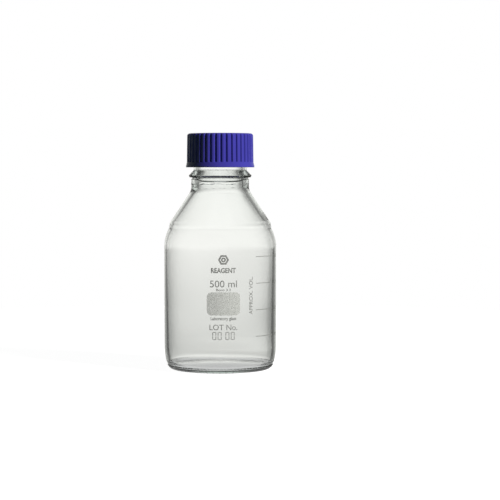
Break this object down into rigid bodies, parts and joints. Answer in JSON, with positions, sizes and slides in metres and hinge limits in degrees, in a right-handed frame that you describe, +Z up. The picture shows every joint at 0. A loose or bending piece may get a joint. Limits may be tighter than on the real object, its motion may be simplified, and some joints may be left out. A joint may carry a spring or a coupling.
{
  "type": "reagent bottle",
  "caption": "Round clear borosilicate laboratory bottle with a blue ribbed screw cap that unscrews and lifts off, and enamel print.",
  "frame": {"origin": "centre of the bearing ring on the surface that the bottle stands on", "axes": "+Z up along the bottle's axis, -Y the side with the print, +X to the right of the print as it is read"},
  "size_m": [0.086, 0.0861, 0.181],
  "materials": {
    "glass": "clear polished borosilicate glass",
    "cap_plastic": "satin moulded polypropylene, blue-violet",
    "ring_plastic": "satin moulded polypropylene, blue",
    "seal_rubber": "translucent grey silicone",
    "facing": "matt white fluoropolymer facing",
    "enamel": "fired light grey enamel"
  },
  "bodies": {
    "bottle": {"glass_bottle": "glass", "pouring_ring": "ring_plastic", "print_panel": "enamel", "print_mark": "enamel", "print_scale_lines": "enamel"},
    "seal": {"seal_disc": "seal_rubber", "seal_facing": "facing"},
    "cap": {"screw_cap": "cap_plastic"}
  },
  "joints": [
    {"name": "seal_lift", "type": "slide", "parent": "bottle", "child": "seal", "axis": [0, 0, 1], "range_m": [0, 0.0321]},
    {"name": "cap_turn", "type": "hinge", "parent": "seal", "child": "cap", "pos_m": [0, 0, 0.168], "axis": [0, 0, 1], "range_deg": [0, 2880]}
  ],
  "couplings": [
    {"joint": "seal_lift", "follows": "cap_turn", "m_per_rad": 0.00063662}
  ]
}
